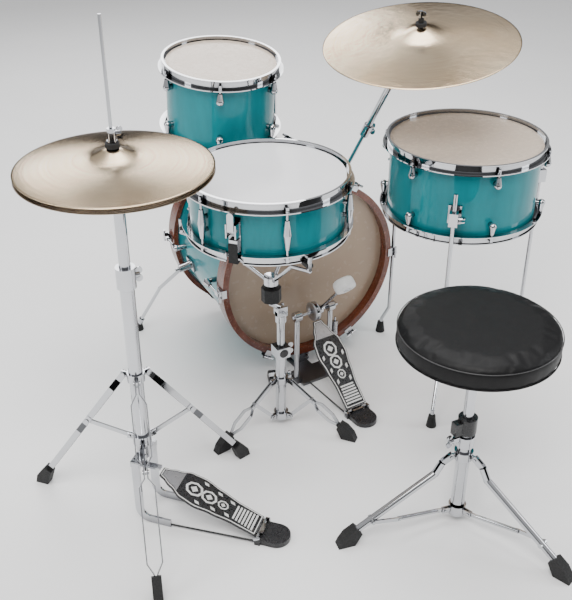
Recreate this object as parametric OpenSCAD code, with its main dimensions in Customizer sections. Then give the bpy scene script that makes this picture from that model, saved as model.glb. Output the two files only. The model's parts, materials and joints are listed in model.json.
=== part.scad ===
/* [Bass drum] */
// Outer radius of the bass drum shell
bass_r = 228.6; // [222:0.1:232]
// Length of the bass drum shell
bass_len = 312; // [300:1:320]
// Height of the bass drum's axis above the floor
bass_axis_z = 280; // [276:1:286]

/* [Snare drum] */
// Outer radius of the snare shell
snare_r = 165; // [160:0.1:167]
// Depth of the snare shell
snare_depth = 118; // [112:1:124]
// Height of the snare's batter head above the floor
snare_top_z = 681; // [676:1:690]

/* [Rack tom] */
// Outer radius of the rack tom shell
rack_r = 127; // [124:0.1:129]
// Depth of the rack tom shell
rack_depth = 168; // [160:1:172]
// Height of the rack tom's batter head above the floor
rack_top_z = 820; // [815:1:825]
// Tilt of the rack tom towards the player, in degrees
rack_tilt = 6.5; // [5:0.5:8]

/* [Floor tom] */
// Outer radius of the floor tom shell
floor_r = 177.8; // [174:0.1:180]
// Depth of the floor tom shell
floor_depth = 176; // [170:1:182]
// Height of the floor tom's batter head above the floor
floor_top_z = 649; // [644:1:654]

/* [Cymbals] */
// Radius of the large cymbal
crash_r = 228; // [215:1:232]
// Radius of each hi-hat cymbal
hat_r = 178; // [170:1:180]
// Height of the hi-hat's bottom cymbal edge above the floor
hat_z = 798; // [794:1:802]
// Gap between the two hi-hat cymbals at rest
hat_gap = 9; // [8:0.5:11]

/* [Throne] */
// Radius of the seat cushion
seat_r = 163; // [150:1:168]
// Height of the top of the seat above the floor
seat_top_z = 507; // [500:1:515]
// Thickness of the seat cushion
seat_t = 62; // [56:1:66]

/* [Sheet and tube] */
// Wall of the drum shells
shell_wall = 6; // [5:0.5:7]
// Thickness of the pressed steel hoops
hoop_t = 2.3; // [2:0.1:2.6]
// Thickness of the flat leg strips
strip_t = 2.4; // [2:0.1:2.6]

/* [Hidden] */
$fn = 64;
chrome = [0.82, 0.83, 0.85];
dark_steel = [0.35, 0.35, 0.37];
teal = [0.0, 0.49, 0.54];
wood = [0.28, 0.1, 0.06];
film = [0.72, 0.63, 0.54];
bronze = [0.75, 0.66, 0.5];
black = [0.05, 0.05, 0.05];

// Plan position of the whole kit: the box of the kit is centred on the origin.
kit_shift = [107, 292, 0];
// Plan positions, from the centre of the bass drum's batter hoop.
snare_xy = [-225, -230];
stand_xy = [-186, -214];
rack_xy = [-173, 108];
floor_xy = [315, -201];
throne_xy = [-2, -687];
hihat_xy = [-583, -347];
pedal_xy = [-20, -76];
pedal_yaw = 5;
hihat_pedal_yaw = 44;

// Running clearance of a shaft in its hole, and of a pin in its hole.
fit = 0.05;
bolt_r = 2.95;
hole_r = bolt_r + fit;
// Half the gap between twin strips, and half the thickness of what runs between them.
gap_in = 2.2;
tab_t = 1.8;
ear_t = 2.5;
eps = 0.01;

// A ring of repeated pieces about +Z.
module around(count, start = 0) {
  for (i = [0:count - 1]) rotate([0, 0, start + i * 360 / count]) children();
}

module pipe(r_out, r_in, z0, z1) {
  translate([0, 0, z0]) difference() {
    cylinder(r = r_out, h = z1 - z0);
    translate([0, 0, -1]) cylinder(r = r_in, h = z1 - z0 + 2);
  }
}

// A straight round bar from point a to point b.
module bar(a, b, r) {
  d = b - a;
  len = norm(d);
  translate(a) rotate([0, acos(d[2] / len), atan2(d[1], d[0])]) cylinder(r = r, h = len);
}

// A round bar through a list of points, with rounded corners.
module bent_bar(p, r) {
  for (i = [0:len(p) - 2]) bar(p[i], p[i + 1], r);
  if (len(p) > 2) for (i = [1:len(p) - 2]) translate(p[i]) sphere(r = r * 1.04);
}

// A wing nut or wing bolt head about +Z, its boss from z = 0 to 10.
module wing(span = 30) {
  cylinder(r = 6, h = 10);
  for (s = [-1, 1]) translate([s * span * 0.28, 0, 9]) rotate([90, s * 18, 0])
    translate([0, 0, -1.6]) cylinder(r = span * 0.24, h = 3.2);
}

// ---------- Drums about +Z: the shell stands from z = -depth to 0 ----------

module drum_shell(r, depth, wall) {
  pipe(r, r - wall, -depth, 0);
}

// One head, its film on the shell's edge at z = 0.
module head(r) {
  rotate_extrude() polygon([[0, 0], [r + 0.6, 0], [r + 0.6, -8], [r + 4.6, -8], [r + 4.6, -2],
    [r + 1.6, -1], [r + 1.6, 0.6], [0, 0.6]]);
}

hoop_in = 5.3;
hoop_low = -13;
hoop_high = 9;
flange = 13;
rod_at = 13.2;

// One triple-flanged hoop with holes for its tension rods.
module flanged_hoop(r, count, start) {
  a = r + hoop_in;
  difference() {
    rotate_extrude() polygon([[a, hoop_low], [a + flange, hoop_low], [a + flange, hoop_low + hoop_t],
      [a + hoop_t, hoop_low + hoop_t], [a + hoop_t, hoop_high - hoop_t],
      [a + hoop_t + 3.4, hoop_high - hoop_t], [a + hoop_t + 3.4, hoop_high], [a, hoop_high],
      [a, 0.9], [r + 2.2, 0.9], [r + 2.2, -0.8], [a, -0.8]]);
    around(count, start) translate([r + rod_at, 0, hoop_low - 1]) cylinder(r = 3.2, h = hoop_t + 2);
  }
}

// One tension rod with its washer and square key head above the hoop's flange.
module tension_rod(r, z_end) {
  translate([r + rod_at, 0, 0]) {
    translate([0, 0, z_end]) cylinder(r = 2.6, h = hoop_low + hoop_t - z_end + 1);
    translate([0, 0, hoop_low + hoop_t]) cylinder(r = 5.2, h = 1.4);
    translate([0, 0, hoop_low + hoop_t + 1]) cylinder(r = 4.4, h = 4);
    translate([-3, -3, hoop_low + hoop_t + 4]) cube([6, 6, 8]);
  }
}

// One teardrop lug on the shell, its rod entry facing +Z.
module small_lug(r, z) {
  translate([r + rod_at, 0, z]) {
    sphere(r = 9);
    translate([0, 0, 3]) cylinder(r1 = 8.3, r2 = 5, h = 17);
  }
  translate([r, 0, z]) rotate([0, 90, 0]) cylinder(r = 6.5, h = rod_at);
}

// One long lug with a rod entry at each end.
module long_lug(r, z, half) {
  translate([r + rod_at, 0, z]) {
    for (s = [0, 180]) rotate([s, 0, 0]) cylinder(r1 = 8.6, r2 = 4.6, h = half);
  }
  for (s = [-1, 1]) translate([r, 0, z + s * half * 0.45]) rotate([0, 90, 0])
    cylinder(r = 5, h = rod_at);
}

lug_drop = 38;
module tom_lugs(r, depth, start) {
  around(6, start) {
    small_lug(r, -lug_drop);
    tension_rod(r, -lug_drop + 15);
    translate([0, 0, -depth]) mirror([0, 0, 1]) {
      small_lug(r, -lug_drop);
      tension_rod(r, -lug_drop + 15);
    }
  }
}

module two_hoops(r, depth, start) {
  flanged_hoop(r, 6, start);
  translate([0, 0, -depth]) mirror([0, 0, 1]) flanged_hoop(r, 6, start);
}

module two_heads(r, depth) {
  head(r);
  translate([0, 0, -depth]) mirror([0, 0, 1]) head(r);
}

// ---------- Bass drum: its own +Z runs along the kit's -Y, towards the player ----------

module at_bass() {
  translate(kit_shift + [0, 0, bass_axis_z]) rotate([90, 0, 0]) children();
}
// The wood hoop's inner and outer edges along the axis, from the shell's edge.
hoop_back = -12;
hoop_front = 26;
wood_hoop_r = bass_r + 17.4;
bass_hoop_in = bass_r + 5.4;
bass_front = -7;
module wood_hoop() {
  rotate_extrude() polygon([[bass_hoop_in, hoop_back], [wood_hoop_r, hoop_back],
    [wood_hoop_r, hoop_front], [bass_hoop_in - 4, hoop_front], [bass_hoop_in - 4, 1],
    [bass_hoop_in, 1]]);
}
module bass_shell() {
  color(teal) at_bass() translate([0, 0, bass_front]) drum_shell(bass_r, bass_len, shell_wall + 1);
}
module each_bass_end() {
  translate([0, 0, bass_front]) children();
  translate([0, 0, bass_front - bass_len]) mirror([0, 0, 1]) children();
}
module bass_hoops() {
  color(wood) at_bass() each_bass_end() wood_hoop();
}
module bass_heads() {
  color(film) at_bass() each_bass_end() head(bass_r);
}
claw_rod_r = wood_hoop_r + 6;
// One claw hook over the hoop, its drum rod, T-handle and lug on the shell.
module bass_claw() {
  front = hoop_front;
  translate([wood_hoop_r - 9, -11, front]) cube([22, 22, 3.2]);
  translate([wood_hoop_r + 0.2, -11, front - 24]) cube([3, 22, 26]);
  translate([claw_rod_r + 1, -5, front - 20]) cube([7, 10, 20]);
  translate([claw_rod_r + 4, 0, front - 62]) cylinder(r = 2.8, h = 74);
  translate([claw_rod_r + 4, 0, front + 8]) rotate([90, 0, 0]) translate([0, 0, -16])
    cylinder(r = 3, h = 32);
  translate([claw_rod_r + 4, 0, front - 78]) {
    sphere(r = 9);
    cylinder(r1 = 8.5, r2 = 5.5, h = 20);
  }
  translate([bass_r, 0, front - 80]) rotate([0, 90, 0])
    cylinder(r = 7, h = claw_rod_r + 4 - bass_r);
}
spur_angle = 190;
spur_z = -235;
module spur_bracket(side) {
  rotate([0, 0, side > 0 ? 180 - spur_angle : spur_angle]) translate([bass_r, 0, spur_z]) {
    translate([0, -16, -20]) cube([6, 32, 40]);
    translate([5, 0, 0]) rotate([0, 90, 0]) cylinder(r = 12, h = 12);
  }
}
// Places along the axis of the tom holder's base and of the cymbal arm's base.
tom_base_z = -200;
cymbal_base_z = -170;
cymbal_base_angle = 37;
module bass_hardware() {
  color(chrome) at_bass() {
    each_bass_end() around(6, 0) bass_claw();
    for (s = [-1, 1]) spur_bracket(s);
    // Base of the tom holder on top of the shell, and of the cymbal arm beside it.
    for (b = [[90, tom_base_z], [cymbal_base_angle, cymbal_base_z]])
      rotate([0, 0, b[0]]) translate([bass_r, -24, b[1] - 24]) cube([6, 48, 48]);
  }
}

// Spurs: each turns on its bracket's axis, which points out of the shell.
module spur(side) {
  pivot = [side * (bass_r + 28) * cos(10), -spur_z, bass_axis_z - (bass_r + 28) * sin(10)];
  knee = [side * 300, 300, 150];
  foot = [side * 345, 346, 38];
  hub_dir = [side * cos(10), 0, -sin(10)];
  hub_in = pivot - hub_dir * 10.6;
  bar(hub_in, pivot + hub_dir * 10, 11);
  bar(pivot + hub_dir * 10, pivot + hub_dir * 22, 5);
  bent_bar([pivot, knee, foot], 4.8);
  bar(foot, foot + [side * 6, 6, -16], 8);
  difference() {
    translate([side * 353, 354, 0]) cylinder(r1 = 13, r2 = 9, h = 24);
    bar(foot, foot + [side * 6, 6, -16], 8 - eps);
  }
}
module spur_left() {
  color(chrome) translate(kit_shift) spur(-1);
}
module spur_right() {
  color(chrome) translate(kit_shift) spur(1);
}

// ---------- Tom and cymbal arms ----------

// The cymbal leans by crash_tilt about a pin whose direction is turned by crash_turn.
crash_tilt = 10.7;
crash_turn = -55.7;
cymbal_pin = [247, -83.6, 866];
arm_disc_at = 13.2;
cymbal_arm_top = cymbal_pin - arm_disc_at * [cos(crash_turn), sin(crash_turn), 0];
cymbal_arm_low = [(bass_r + 14) * cos(cymbal_base_angle), -cymbal_base_z,
  bass_axis_z + (bass_r + 14) * sin(cymbal_base_angle)];
module drum_arms() {
  color(chrome) translate(kit_shift) {
    // Tom holder: socket on the base plate, post, clamp and the arm to the tom.
    post_low = bass_axis_z + bass_r + 6;
    translate([tom_post[0], tom_post[1], 0]) {
      translate([0, 0, post_low]) cylinder(r = 17, h = 34);
      translate([0, -17, post_low + 20]) rotate([90, 0, 0]) wing();
      translate([0, 0, post_low + 30]) cylinder(r = 9.5, h = tom_post[2] + 14 - post_low - 30);
      translate([0, 0, tom_post[2] - 16]) cylinder(r = 15, h = 32);
      translate([0, -13, tom_post[2]]) rotate([90, 0, 0]) wing();
    }
    bar(tom_post, arm_tip, 5.2);
    // Cymbal arm: socket, thin lower rod, clamp and thicker upper tube.
    d = cymbal_arm_top - cymbal_arm_low;
    u = d / norm(d);
    bar(cymbal_arm_low - [8 * cos(cymbal_base_angle), 0, 8 * sin(cymbal_base_angle)],
      cymbal_arm_low + [12 * cos(cymbal_base_angle), 0, 12 * sin(cymbal_base_angle)], 14);
    bar(cymbal_arm_low, cymbal_arm_low + u * 190, 5.2);
    bar(cymbal_arm_low + u * 180, cymbal_arm_low + u * 215, 12);
    translate(cymbal_arm_low + u * 197 + [10, 0, 0]) rotate([0, 90, 0]) wing();
    bar(cymbal_arm_low + u * 210, cymbal_arm_top - u * 22, 8);
    bar(cymbal_arm_top - u * 24, cymbal_arm_top, 4.4);
    at_cymbal_pin() tilter_disc();
  }
}
// The arm lies along a radius of the tilted tom, at the height of its bracket.
rack_arm_angle = 25;
bracket_drop = 87;
function from_rack(p) = [rack_xy[0] + p[0], rack_xy[1] + p[1] * cos(rack_tilt)
  - p[2] * sin(rack_tilt), rack_top_z + p[1] * sin(rack_tilt) + p[2] * cos(rack_tilt)];
arm_unit = [cos(rack_arm_angle), sin(rack_arm_angle), 0];
arm_tip = from_rack((rack_r + 12) * arm_unit - [0, 0, bracket_drop]);
tom_post = from_rack((rack_r + 70) * arm_unit - [0, 0, bracket_drop]);

module at_cymbal_pin() {
  translate(cymbal_pin) rotate([0, 0, crash_turn]) children();
}
// The arm's toothed disc, and the pin through it that the tilter turns on, with its wing nut.
module tilter_disc() {
  translate([-arm_disc_at - 4.8, 0, 0]) rotate([0, 90, 0]) cylinder(r = 12, h = 9.6);
  translate([-arm_disc_at, 0, 0]) rotate([0, 90, 0]) cylinder(r = bolt_r, h = 2 * arm_disc_at);
  translate([8.6, 0, 0]) rotate([0, 90, 0]) wing(24);
}
// The tilter turns on that pin and carries the stem, seat, felts and wing nut.
module cymbal_tilter() {
  color(chrome) translate(kit_shift) at_cymbal_pin() rotate([crash_tilt, 0, 0]) {
    difference() {
      union() {
        translate([-8, 0, 0]) rotate([0, 90, 0]) cylinder(r = 10, h = 16);
        cylinder(r = 5, h = 16);
        cylinder(r = 3.9, h = 66);
      }
      translate([-9, 0, 0]) rotate([0, 90, 0]) cylinder(r = hole_r, h = 18);
    }
    translate([0, 0, 14]) cylinder(r = 15, h = 3);
    translate([0, 0, 17]) cylinder(r = 13, h = 7);
    translate([0, 0, 30.5]) cylinder(r = 13, h = 8);
    translate([0, 0, 38.5]) cylinder(r = 6.5, h = 12);
    translate([0, 0, 50]) wing(24);
  }
}
// A cymbal about +Z with its bell's underside at z = 0, its bow falling to the edge.
module cymbal(r, drop, bell_h, bell_r, hole, t) {
  steps = 7;
  low = [for (i = [0:steps]) let (x = bell_r + (r - bell_r) * i / steps)
    [x, -bell_h - drop * pow(i / steps, 1.3)]];
  crown = [for (i = [0:4]) let (a = i * 80 / 4) [hole + (bell_r - 4 - hole) * sin(a) / sin(80),
    -(bell_h - 3) * (1 - cos(a)) / (1 - cos(80))]];
  inner = concat(crown, low);
  n = len(inner);
  outer = [for (i = [n - 1:-1:0]) inner[i] + [0, t]];
  rotate_extrude() polygon(concat(inner, outer));
}
crash_drop = 18;
crash_bell = 18;
module crash_cymbal() {
  color(bronze) translate(kit_shift) at_cymbal_pin() rotate([crash_tilt, 0, 0])
    translate([0, 0, 24.8]) cymbal(crash_r, crash_drop, crash_bell, 66, 6, 1.4);
}

// ---------- Rack tom ----------

module at_rack() {
  translate(kit_shift + [rack_xy[0], rack_xy[1], rack_top_z]) rotate([rack_tilt, 0, 0]) children();
}
rack_start = 5;
module rack_tom_shell() {
  color(teal) at_rack() drum_shell(rack_r, rack_depth, shell_wall);
}
module rack_tom_hoops() {
  color(chrome) at_rack() two_hoops(rack_r, rack_depth, rack_start);
}
module rack_tom_heads() {
  color(film) at_rack() two_heads(rack_r, rack_depth);
}
module rack_tom_hardware() {
  color(chrome) {
    at_rack() tom_lugs(rack_r, rack_depth, rack_start);
    at_rack() rotate([0, 0, rack_arm_angle]) translate([rack_r, 0, -bracket_drop]) {
      translate([0, -17, -20]) cube([6, 34, 40]);
      difference() {
        translate([5, -12, -12]) cube([32, 24, 24]);
        rotate([0, 90, 0]) translate([0, 0, 8]) cylinder(r = 5.2 + fit, h = 40);
      }
      translate([24, 0, 11.5]) wing();
    }
  }
}

// ---------- Floor tom ----------

module at_floor() {
  translate(kit_shift + [floor_xy[0], floor_xy[1], floor_top_z]) children();
}
floor_start = 15;
floor_leg_angles = [104, 228, 346];
floor_foot_reach = [234, 268, 250];
floor_leg_r = floor_r + 28;
module floor_tom_shell() {
  color(teal) at_floor() drum_shell(floor_r, floor_depth, shell_wall);
}
module floor_tom_hoops() {
  color(chrome) at_floor() two_hoops(floor_r, floor_depth, floor_start);
}
module floor_tom_heads() {
  color(film) at_floor() two_heads(floor_r, floor_depth);
}
bracket_z = -112;
module leg_bracket() {
  translate([floor_r, -15, bracket_z - 22]) cube([7, 30, 44]);
  difference() {
    translate([floor_r + 6, -10, bracket_z - 16]) cube([34, 20, 32]);
    translate([floor_leg_r, 0, bracket_z - 20]) cylinder(r = 4.8 + fit, h = 40);
  }
  translate([floor_leg_r + 2, 10, bracket_z]) rotate([-90, 0, 0]) wing();
}
module floor_tom_hardware() {
  color(chrome) at_floor() {
    tom_lugs(floor_r, floor_depth, floor_start);
    for (a = floor_leg_angles) rotate([0, 0, a]) leg_bracket();
  }
}
module floor_tom_legs() {
  color(chrome) translate(kit_shift + [floor_xy[0], floor_xy[1], 0]) for (i = [0:2])
    rotate([0, 0, floor_leg_angles[i]]) {
      out = floor_foot_reach[i];
      bent_bar([[floor_leg_r, 0, floor_top_z + bracket_z + 60], [floor_leg_r, 0, 92],
        [out - 4, 0, 44], [out, 0, 20]], 4.8);
      translate([out, 0, 0]) cylinder(r1 = 13, r2 = 8.5, h = 32);
    }
}

// ---------- Snare drum ----------

module at_snare() {
  translate(kit_shift + [snare_xy[0], snare_xy[1], snare_top_z]) children();
}
snare_start = 16;
strainer_angle = 221;
module snare_shell() {
  color(teal) at_snare() drum_shell(snare_r, snare_depth, shell_wall);
}
module snare_hoops() {
  color(chrome) at_snare() difference() {
    two_hoops(snare_r, snare_depth, snare_start);
    // Gates that let the strap through the bottom hoop.
    for (a = [0, 180]) rotate([0, 0, strainer_angle + a])
      translate([snare_r + 3, -19, -snare_depth - 14]) cube([30, 38, 30]);
  }
}
module snare_heads() {
  color([0.9, 0.9, 0.92]) at_snare() two_heads(snare_r, snare_depth);
}
lever_pivot = [snare_r + 17, 0, -50];
module snare_hardware() {
  color(chrome) at_snare() {
    around(6, snare_start) {
      long_lug(snare_r, -snare_depth / 2, 32);
      tension_rod(snare_r, -34);
      translate([0, 0, -snare_depth]) mirror([0, 0, 1]) tension_rod(snare_r, -34);
    }
    rotate([0, 0, strainer_angle]) {
      // Strainer: back plate, two cheeks with the lever's pin holes, slide block and strap clamp.
      translate([snare_r, -13, -104]) cube([5, 26, 76]);
      difference() {
        for (s = [-1, 1]) translate([snare_r + 4, s * 10 - 1.5, -66]) cube([20, 3, 30]);
        translate(lever_pivot + [0, -15, 0]) rotate([-90, 0, 0]) cylinder(r = hole_r, h = 30);
      }
      translate([snare_r + 4, -9, -102]) cube([10, 18, 28]);
      translate([snare_r + 14, -10, -122]) cube([2, 20, 40]);
      translate([snare_r + 3, -10, -124.6]) cube([13, 20, 2]);
    }
    rotate([0, 0, strainer_angle + 180]) {
      // Butt plate and its strap.
      translate([snare_r, -13, -100]) cube([9, 26, 40]);
      translate([snare_r + 9, -10, -122]) cube([2, 20, 40]);
      translate([snare_r + 3, -10, -124.6]) cube([8, 20, 2]);
    }
    // Snare wires: two end plates and sixteen strands under the bottom head.
    rotate([0, 0, strainer_angle]) translate([0, 0, -snare_depth - 2.2]) {
      for (s = [-1, 1]) translate([s * 152 - 9, -19, -1]) cube([18, 38, 1.4]);
      for (i = [-7.5:1:7.5]) translate([-144, i * 2.4, -1.7]) rotate([0, 90, 0])
        cylinder(r = 0.8, h = 288, $fn = 16);
    }
  }
}
module throw_off_lever() {
  color(chrome) at_snare() rotate([0, 0, strainer_angle]) {
    translate(lever_pivot) {
      translate([0, -12.4, 0]) rotate([-90, 0, 0]) cylinder(r = bolt_r, h = 24.8);
      translate([0, -8, 0]) rotate([-90, 0, 0]) cylinder(r = 7, h = 16);
      translate([2, -7, 0]) cube([6, 14, 34]);
      translate([5, 0, 33]) rotate([0, 90, 0]) cylinder(r = 7, h = 6, center = true);
    }
  }
}

// ---------- Folding tripods ----------
// Each leg hangs from a tab of the sliding collar and each brace from two ears of the hub.

// Ring with three pairs of ears or three single tabs about a tube.
module hub_ring(r_in, r_out, h, pivot_r, z, start, ears) {
  difference() {
    union() {
      translate([0, 0, z - h / 2]) cylinder(r = r_out, h = h);
      around(3, start) {
        if (ears) for (s = [-1, 1])
          translate([r_out - 3, s > 0 ? gap_in : -gap_in - ear_t, z - 6])
            cube([pivot_r - r_out + 9, ear_t, 12]);
        else translate([r_out - 3, -tab_t, z - 6]) cube([pivot_r - r_out + 9, 2 * tab_t, 12]);
      }
    }
    if (r_in > 0) translate([0, 0, z - h]) cylinder(r = r_in, h = 2 * h);
    around(3, start) translate([pivot_r, 0, z]) rotate([90, 0, 0]) translate([0, 0, -12])
      cylinder(r = hole_r, h = 24);
  }
}
// The bolts of the hub's ears, on which the braces turn.
module hub_bolts(pivot_r, z, start) {
  around(3, start) translate([pivot_r, 0, z]) rotate([90, 0, 0]) {
    translate([0, 0, -6.5]) cylinder(r = bolt_r + fit + eps, h = 13);
  }
}
// A flat strip whose sideways places are given at stations along the leg, and its mirror image.
module twin_strips(path, w) {
  n = len(path);
  side = concat(path, [for (i = [n - 1:-1:0]) path[i] + [0, strip_t]]);
  for (s = [0, 1]) mirror([0, s, 0]) translate([0, 0, -w / 2]) linear_extrude(height = w)
    polygon(side);
}
// A leg from its pivot at the collar (x = 0) to the foot, in the plane of x and z.
module strip_leg(length, joint_at, spread, w, open_top) {
  g = gap_in;
  top = open_top ? [[22, g], [42, spread], [joint_at - 30, spread], [joint_at - 12, g]] : [];
  path = concat([[-4, g]], top, [[joint_at + 12, g], [joint_at + 28, spread],
    [length - 58, spread], [length - 36, g], [length - 8, g]]);
  twin_strips(path, w);
  rotate([90, 0, 0]) translate([0, 0, -6.5]) cylinder(r = bolt_r, h = 13);
  for (s = [-1, 1]) {
    translate([0, s * 5.6, 0]) rotate([90, 0, 0]) cylinder(r = 4.6, h = 2, center = true);
    translate([joint_at, s * 5.4, 0]) rotate([90, 0, 0]) cylinder(r = 4.6, h = 2, center = true);
  }
}
// A rubber foot at the end of a leg, its outline given as [radius, height].
module rubber_foot(w) {
  rotate([90, 0, 0]) translate([0, 0, -w / 2]) linear_extrude(height = w) children();
}
// A brace from the hub's ears (x = 0) to the leg.
module flat_brace(length, w) {
  difference() {
    union() {
      translate([0, -tab_t, -w / 2]) cube([length, 2 * tab_t, w]);
      for (x = [0, length]) translate([x, -tab_t, 0]) rotate([-90, 0, 0])
        cylinder(r = w / 2, h = 2 * tab_t);
    }
    translate([0, -5, 0]) rotate([-90, 0, 0]) cylinder(r = hole_r + fit, h = 10);
  }
}
// Place a piece with its x axis from point a to point b, each [radius, height].
module aim(a, b) {
  translate([a[0], 0, a[1]]) rotate([0, -atan2(b[1] - a[1], b[0] - a[0]), 0]) children();
}

// ---------- Snare stand ----------

stand_start = 70.5;
stand_tube_r = 12.7;
stand_top = [24, 131];
stand_foot = [176, 14];
stand_joint_at = 69;
stand_low = [24, 26];
stand_leg_len = norm(stand_foot - stand_top);
stand_dir = (stand_foot - stand_top) / stand_leg_len;
stand_joint = stand_top + stand_dir * stand_joint_at;
module at_stand() {
  translate(kit_shift + [stand_xy[0], stand_xy[1], 0]) children();
}
stand_clamp_z = 213;
module snare_stand_base() {
  color(chrome) at_stand() {
    difference() {
      union() {
        translate([0, 0, 14]) cylinder(r = stand_tube_r, h = stand_clamp_z - 14);
        hub_ring(0, 18, 18, stand_low[0], stand_low[1], stand_start, true);
        translate([-17, -17, stand_clamp_z - 14]) cube([34, 34, 28]);
        translate([16, 0, stand_clamp_z]) rotate([0, 90, 0]) wing();
      }
      translate([0, 0, 30]) cylinder(r = 10.4, h = stand_clamp_z);
      translate([0, 0, stand_clamp_z - 10]) cylinder(r = 9.5 + fit, h = 50);
    }
    hub_bolts(stand_low[0], stand_low[1], stand_start);
  }
}
module snare_stand_collar() {
  color(chrome) at_stand() {
    hub_ring(stand_tube_r + fit, 17, 16, stand_top[0], stand_top[1], stand_start, false);
    rotate([0, 0, stand_start - 60]) translate([16, 0, stand_top[1]]) rotate([0, 90, 0]) wing(24);
  }
}
module snare_leg(i) {
  color(chrome) at_stand() rotate([0, 0, stand_start + 120 * i]) {
    aim(stand_top, stand_foot) strip_leg(stand_leg_len, stand_joint_at, 12, 9, false);
    rubber_foot(21) polygon([[148, 27], [156, 43], [172, 36], [189, 19], [197, 0], [161, 0]]);
  }
}
module snare_brace(i) {
  color(chrome) at_stand() rotate([0, 0, stand_start + 120 * i])
    aim(stand_low, stand_joint) flat_brace(norm(stand_joint - stand_low), 9);
}
tilter_z = 325;
module snare_stand_post() {
  color(chrome) at_stand() {
    pipe(9.5, 7.5, 150, tilter_z - 24);
    translate([0, 0, tilter_z - 30]) cylinder(r = 13, h = 17.4);
    difference() {
      for (s = [-1, 1]) translate([-12, s * 9.5 - 2.5, tilter_z - 12]) cube([24, 5, 24]);
      translate([0, -15, tilter_z]) rotate([-90, 0, 0]) cylinder(r = hole_r, h = 30);
    }
  }
}
basket_z = 412;
basket_start = 30;
module snare_basket() {
  color(chrome) at_stand() {
    // Tilter boss, its pin, the neck and the octagonal grip knob.
    translate([0, -6.7, tilter_z]) rotate([-90, 0, 0]) cylinder(r = 12, h = 13.4);
    translate([0, -13.5, tilter_z]) rotate([-90, 0, 0]) cylinder(r = bolt_r, h = 27);
    bent_bar([[0, 0, tilter_z + 6], [-24, 0, tilter_z + 24], [-24, 0, basket_z]], 6.2);
    translate([-24, 0, tilter_z + 34]) rotate([0, 0, 22.5]) cylinder(r = 23, h = 34, $fn = 8);
    translate([-24, 0, basket_z - 10]) cylinder(r = 17, h = 20);
    // Three arms that rise to the bottom hoop, each with a rubber hook.
    for (i = [0:2]) basket_arm(basket_start + 120 * i);
  }
}
hook_r = snare_r + hoop_in + flange + 4.5;
module basket_arm(a) {
  c = [snare_xy[0] - stand_xy[0], snare_xy[1] - stand_xy[1]];
  tip = [c[0] + hook_r * cos(a), c[1] + hook_r * sin(a)];
  bottom = snare_top_z - snare_depth - hoop_high;
  middle = [tip[0] * 0.55 - 10, tip[1] * 0.55];
  way = (middle - [-24, 0]) / norm(middle - [-24, 0]);
  bent_bar([[-24 + 11 * way[0], 11 * way[1], basket_z + 1], [middle[0], middle[1], bottom - 52],
    [tip[0], tip[1], bottom - 16], [tip[0], tip[1], bottom + 16]], 4.4);
  translate([tip[0], tip[1], 0]) rotate([0, 0, a]) translate([-26, -7, bottom - 8])
    cube([28, 14, 7.6]);
}

// ---------- Throne ----------

throne_start = 50.4;
throne_top = [30, 180];
throne_low = [30, 34];
throne_foot = [252, 22];
throne_knee = [62, 142];
throne_dir = (throne_foot - throne_knee) / norm(throne_foot - throne_knee);
// The brace's flat end lies beside the leg tube.
throne_joint = throne_knee + throne_dir * 164;
throne_leg_r = 8;
module at_throne() {
  translate(kit_shift + [throne_xy[0], throne_xy[1], 0]) children();
}
throne_rod_r = 8;
throne_tube_r = 15;
throne_post_r = 11;
module throne_hub() {
  color(chrome) at_throne() {
    translate([0, 0, 12]) cylinder(r = throne_rod_r, h = 396);
    hub_ring(0, 19, 24, throne_low[0], throne_low[1] - 4, throne_start, true);
    hub_bolts(throne_low[0], throne_low[1] - 4, throne_start);
  }
}
module throne_collar() {
  color(chrome) at_throne() {
    difference() {
      union() {
        translate([0, 0, 48]) cylinder(r = throne_tube_r, h = 212);
        hub_ring(10, 20, 20, throne_top[0], throne_top[1], throne_start, false);
        translate([0, 0, 204]) cylinder(r = 19, h = 26);
        translate([0, 0, 238]) cylinder(r = 20, h = 38);
        translate([-34, -9, 240]) cube([24, 18, 30]);
        translate([-33, 0, 226]) rotate([0, -90, 0]) wing();
        translate([-34, -5, 220]) cube([20, 10, 12]);
      }
      translate([0, 0, 60]) cylinder(r = 12.2, h = 176);
      translate([0, 0, 40]) cylinder(r = throne_rod_r + fit, h = 30);
      translate([0, 0, 230]) cylinder(r = throne_post_r + fit, h = 50);
    }
  }
}
module throne_post() {
  color(chrome) at_throne() pipe(throne_post_r, throne_rod_r + 0.8, 215, seat_top_z - seat_t - 26);
}
module seat_plate() {
  plate_z = seat_top_z - seat_t;
  color(dark_steel) at_throne() {
    difference() {
      union() {
        translate([0, 0, plate_z - 8]) cylinder(r = 70, h = 7.6);
        translate([0, 0, plate_z - 38]) cylinder(r = 17, h = 31);
      }
      translate([0, 0, plate_z - 40]) cylinder(r = throne_post_r + fit, h = 14.01);
      translate([0, 0, plate_z - 40]) cylinder(r = throne_rod_r + 2, h = 30);
    }
  }
}
module seat_cushion() {
  z0 = seat_top_z - seat_t;
  color(black) at_throne() rotate_extrude() polygon([[0, z0], [seat_r - 6, z0], [seat_r, z0 + 8],
    [seat_r, seat_top_z - 16], [seat_r - 5, seat_top_z - 6], [seat_r - 20, seat_top_z],
    [0, seat_top_z]]);
}
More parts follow.
